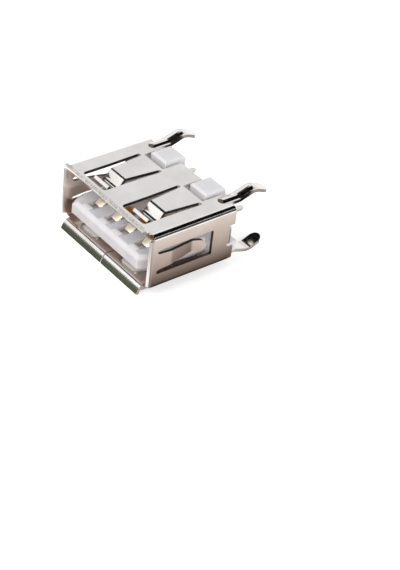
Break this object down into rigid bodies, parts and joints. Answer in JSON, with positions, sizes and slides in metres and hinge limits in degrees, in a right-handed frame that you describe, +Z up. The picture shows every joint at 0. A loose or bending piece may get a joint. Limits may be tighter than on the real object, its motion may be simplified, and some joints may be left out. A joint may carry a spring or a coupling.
{
  "type": "usb socket",
  "caption": "Upright through-board USB socket: folded plated shell with flared mouth, spring fingers and kinked snap-in legs around a moulded insulator tongue with pressed-in contacts.",
  "frame": {"origin": "middle of the part's box at its lowest level, where the lower lip and the lower legs rest", "axes": "+Y from the mouth to the legs and contact tails, +X across the shell, +Z up from the seam side of the shell"},
  "size_m": [0.0132, 0.0142, 0.007],
  "materials": {
    "plated_steel": "bright nickel plate on cold-rolled steel sheet",
    "insulator": "natural translucent white moulding",
    "contact_metal": "copper alloy strip, gold flash on the beams and bright tin on the tails"
  },
  "bodies": {
    "root": {"shell": "plated_steel", "housing": "insulator", "contact_1": "contact_metal", "contact_2": "contact_metal", "contact_3": "contact_metal", "contact_4": "contact_metal"}
  },
  "joints": []
}
